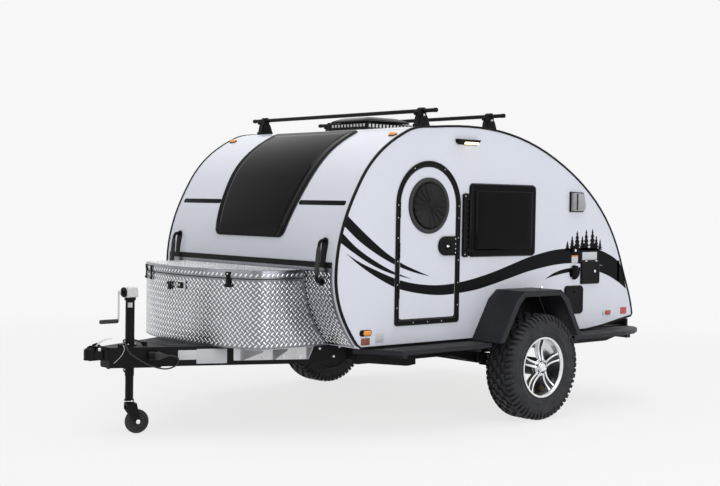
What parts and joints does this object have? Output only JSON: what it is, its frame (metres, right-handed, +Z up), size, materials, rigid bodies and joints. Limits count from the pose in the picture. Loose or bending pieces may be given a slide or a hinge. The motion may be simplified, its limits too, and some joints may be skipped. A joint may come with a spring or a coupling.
{
  "type": "teardrop camping trailer",
  "caption": "Teardrop camping trailer with off-road tyres, side doors, rear galley hatch, chequer-plate tongue box, roof bars and swivel-wheel jack.",
  "frame": {"origin": "on the ground under the middle of the trailer's length and width", "axes": "+X towards the hitch, +Y to the left-hand side, +Z up"},
  "size_m": [4.315, 2.494, 2.107],
  "materials": {
    "frame_paint": "satin powder coat",
    "body_white": "gloss gelcoat on a sandwich panel",
    "black_trim": "satin black",
    "black_rubber": "matt",
    "tyre": "matt",
    "alloy": "polished and machined",
    "zinc": "zinc plated",
    "black_glass": "gloss acrylic",
    "chequer_plate": "bright chequer plate",
    "plywood": "satin lacquer",
    "pale_plastic": "satin",
    "lenses": "gloss"
  },
  "bodies": {
    "chassis": {"main_frame": "frame_paint", "tongue_frame": "frame_paint", "coupler": "frame_paint", "coupler_latch": "zinc", "jack_tube": "frame_paint", "jack_head": "zinc", "axle": "frame_paint", "floor_deck": "plywood", "side_wall_left": "body_white", "side_wall_right": "body_white", "front_shell": "body_white", "roof_shell": "body_white", "galley_bulkhead": "plywood", "galley_counter": "plywood", "edge_trims": "black_trim", "door_frames": "black_trim", "front_window_frame": "black_trim", "front_window": "black_glass", "side_windows": "black_glass", "side_rails": "black_trim", "service_ports": "black_trim", "roof_bars": "black_trim", "rack_feet": "black_trim", "vent_base": "pale_plastic", "storage_box": "chequer_plate", "storage_box_floor": "chequer_plate", "box_brackets": "zinc", "rock_guard": "chequer_plate", "grab_handles": "black_trim", "fenders": "black_trim", "running_boards": "black_trim", "rear_bumper": "frame_paint", "tail_lights": "lenses", "marker_lights": "lenses", "porch_lights": "black_trim", "plug_holder": "black_rubber", "trailer_plug": "black_rubber", "plug_cable": "black_rubber", "breakaway_cable": "zinc"},
    "wheel_left": {"tyre_left": "tyre", "wheel_left": "alloy"},
    "wheel_right": {"tyre_right": "tyre", "wheel_right": "alloy"},
    "jack_leg": {"jack_leg": "frame_paint"},
    "castor": {"castor_fork": "frame_paint"},
    "castor_wheel": {"castor_wheel": "black_rubber"},
    "door_left": {"door_left": "body_white", "door_port_left": "black_glass"},
    "door_right": {"door_right": "body_white", "door_port_right": "black_glass"},
    "galley_hatch": {"galley_hatch": "body_white"},
    "box_lid": {"storage_box_lid": "chequer_plate", "lid_latches": "black_rubber"},
    "vent_lid": {"vent_lid": "black_glass"},
    "utility_hatch": {"utility_hatch": "black_trim"},
    "shower_hatch": {"shower_hatch": "black_trim"},
    "stabiliser_left": {"stabiliser_left": "frame_paint"},
    "stabiliser_right": {"stabiliser_right": "frame_paint"},
    "stabiliser_foot_left": {"stabiliser_foot_left": "frame_paint"},
    "stabiliser_foot_right": {"stabiliser_foot_right": "frame_paint"}
  },
  "joints": [
    {"name": "wheel_left_spin", "type": "hinge", "parent": "chassis", "child": "wheel_left", "pos_m": [-0.6735, 1.1295, 0.366], "axis": [0, 1, 0], "continuous": true},
    {"name": "wheel_right_spin", "type": "hinge", "parent": "chassis", "child": "wheel_right", "pos_m": [-0.6735, -1.1295, 0.366], "axis": [0, 1, 0], "continuous": true},
    {"name": "jack_slide", "type": "slide", "parent": "chassis", "child": "jack_leg", "axis": [0, 0, 1], "range_m": [-0.1, 0.14]},
    {"name": "castor_swivel", "type": "hinge", "parent": "jack_leg", "child": "castor", "pos_m": [1.8415, 0, 0.2], "axis": [0, 0, 1], "continuous": true},
    {"name": "castor_spin", "type": "hinge", "parent": "castor", "child": "castor_wheel", "pos_m": [1.7932, 0.01294, 0.076], "axis": [-0.2588, -0.9659, 0], "continuous": true},
    {"name": "door_left_hinge", "type": "hinge", "parent": "chassis", "child": "door_left", "pos_m": [0.444, 0.976, 1.2], "axis": [0, 0, -1], "range_deg": [0, 110]},
    {"name": "door_right_hinge", "type": "hinge", "parent": "chassis", "child": "door_right", "pos_m": [0.444, -0.976, 1.2], "axis": [0, 0, 1], "range_deg": [0, 110]},
    {"name": "galley_hatch_hinge", "type": "hinge", "parent": "chassis", "child": "galley_hatch", "pos_m": [-0.8329, 0, 1.9092], "axis": [0, 1, 0], "range_deg": [0, 65]},
    {"name": "box_lid_hinge", "type": "hinge", "parent": "chassis", "child": "box_lid", "pos_m": [0.9785, 0, 1.049], "axis": [0, -1, 0], "range_deg": [0, 80]},
    {"name": "vent_lid_hinge", "type": "hinge", "parent": "chassis", "child": "vent_lid", "pos_m": [0.0845, 0, 2.051], "axis": [0, 1, 0], "range_deg": [0, 60]},
    {"name": "utility_hatch_hinge", "type": "hinge", "parent": "chassis", "child": "utility_hatch", "pos_m": [-1.5045, 0.967, 1.071], "axis": [1, 0, 0], "range_deg": [0, 100]},
    {"name": "shower_hatch_hinge", "type": "hinge", "parent": "chassis", "child": "shower_hatch", "pos_m": [-1.3195, 0.967, 0.888], "axis": [1, 0, 0], "range_deg": [0, 100]},
    {"name": "stabiliser_left_swing", "type": "hinge", "parent": "chassis", "child": "stabiliser_left", "pos_m": [-1.2335, 0.7, 0.426], "axis": [0, -1, 0], "range_deg": [0, 70]},
    {"name": "stabiliser_foot_left_tilt", "type": "hinge", "parent": "stabiliser_left", "child": "stabiliser_foot_left", "pos_m": [-1.5635, 0.7, 0.414], "axis": [0, 1, 0], "range_deg": [0, 60]},
    {"name": "stabiliser_right_swing", "type": "hinge", "parent": "chassis", "child": "stabiliser_right", "pos_m": [-1.2335, -0.7, 0.426], "axis": [0, -1, 0], "range_deg": [0, 70]},
    {"name": "stabiliser_foot_right_tilt", "type": "hinge", "parent": "stabiliser_right", "child": "stabiliser_foot_right", "pos_m": [-1.5635, -0.7, 0.414], "axis": [0, 1, 0], "range_deg": [0, 60]}
  ]
}
